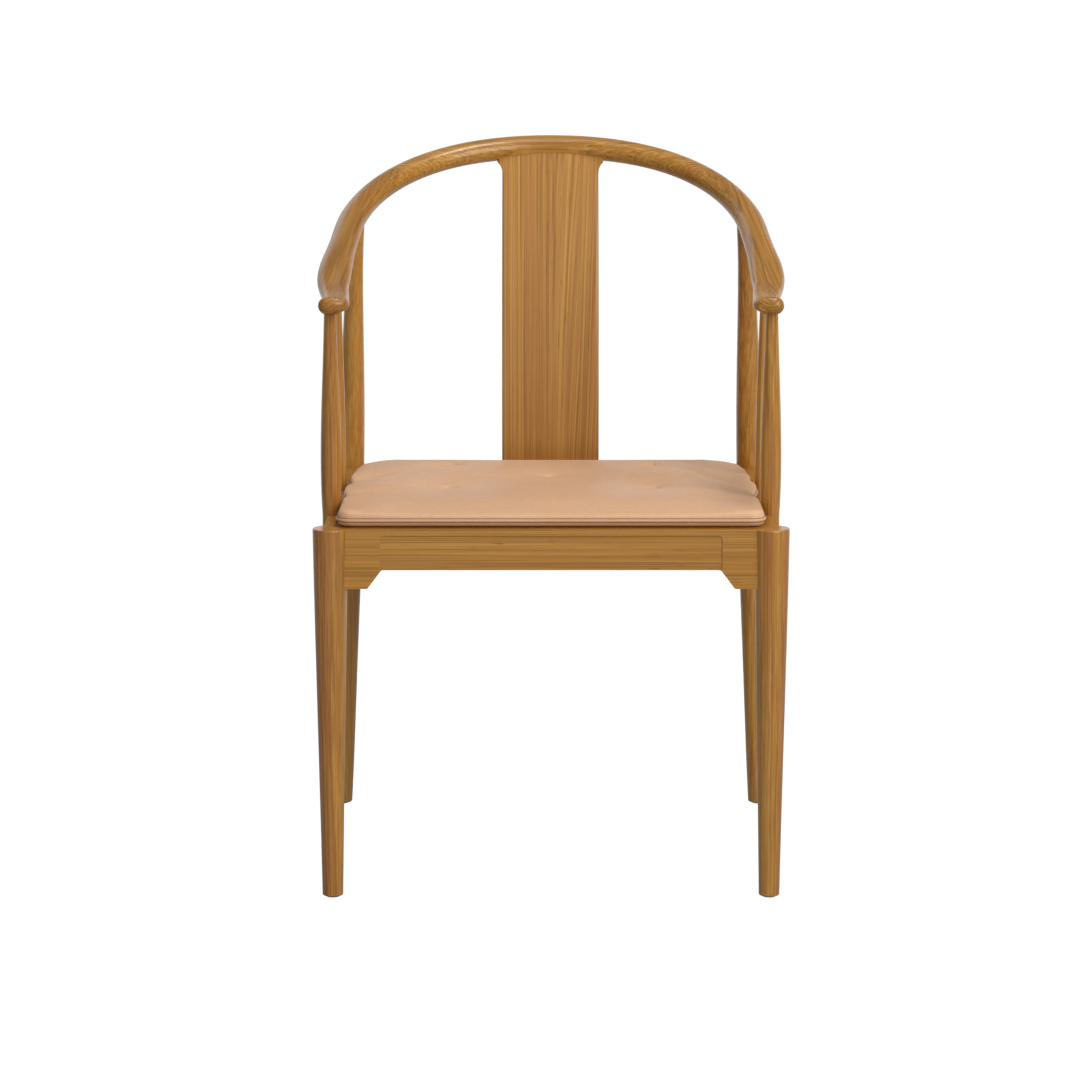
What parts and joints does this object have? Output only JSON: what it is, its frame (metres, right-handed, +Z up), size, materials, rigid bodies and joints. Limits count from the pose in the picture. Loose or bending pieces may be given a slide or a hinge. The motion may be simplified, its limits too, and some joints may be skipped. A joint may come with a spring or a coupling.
{
  "type": "horseshoe back armchair",
  "caption": "Wooden horseshoe back armchair: one bow forms crest and arms with curled ends, over a flat splat, turned legs and a bracketed seat frame with a loose leather cushion.",
  "frame": {"origin": "on the floor, under the middle of the chair's width and depth", "axes": "+Z up, the sitter faces -Y, +X to the right as seen from the front"},
  "size_m": [0.541, 0.557, 0.82],
  "materials": {
    "wood": "satin lacquer on fine straight grain",
    "panel": "plain plywood, sanded",
    "block_wood": "plain, sanded",
    "leather": "smooth aniline leather, tan",
    "foam": "open-cell foam",
    "screw": "zinc plated",
    "glide": "nylon disc, dark brown"
  },
  "bodies": {
    "root": {"arm_left": "wood", "arm_post_left": "wood", "arm_post_right": "wood", "arm_right": "wood", "back_splat": "wood", "bow_tenon_left": "block_wood", "bow_tenon_right": "block_wood", "corner_block_front_left": "block_wood", "corner_block_front_right": "block_wood", "corner_block_rear_left": "block_wood", "corner_block_rear_right": "block_wood", "corner_block_screws": "screw", "crest_rail": "wood", "cushion_buttons": "leather", "cushion_cover": "leather", "cushion_foam": "foam", "cushion_piping": "leather", "foot_glides": "glide", "front_leg_left": "wood", "front_leg_right": "wood", "front_rail": "wood", "rear_leg_left": "wood", "rear_leg_right": "wood", "rear_rail": "wood", "seat_panel": "panel", "side_rail_left": "wood", "side_rail_right": "wood", "side_spindle_left": "wood", "side_spindle_right": "wood"}
  },
  "joints": []
}
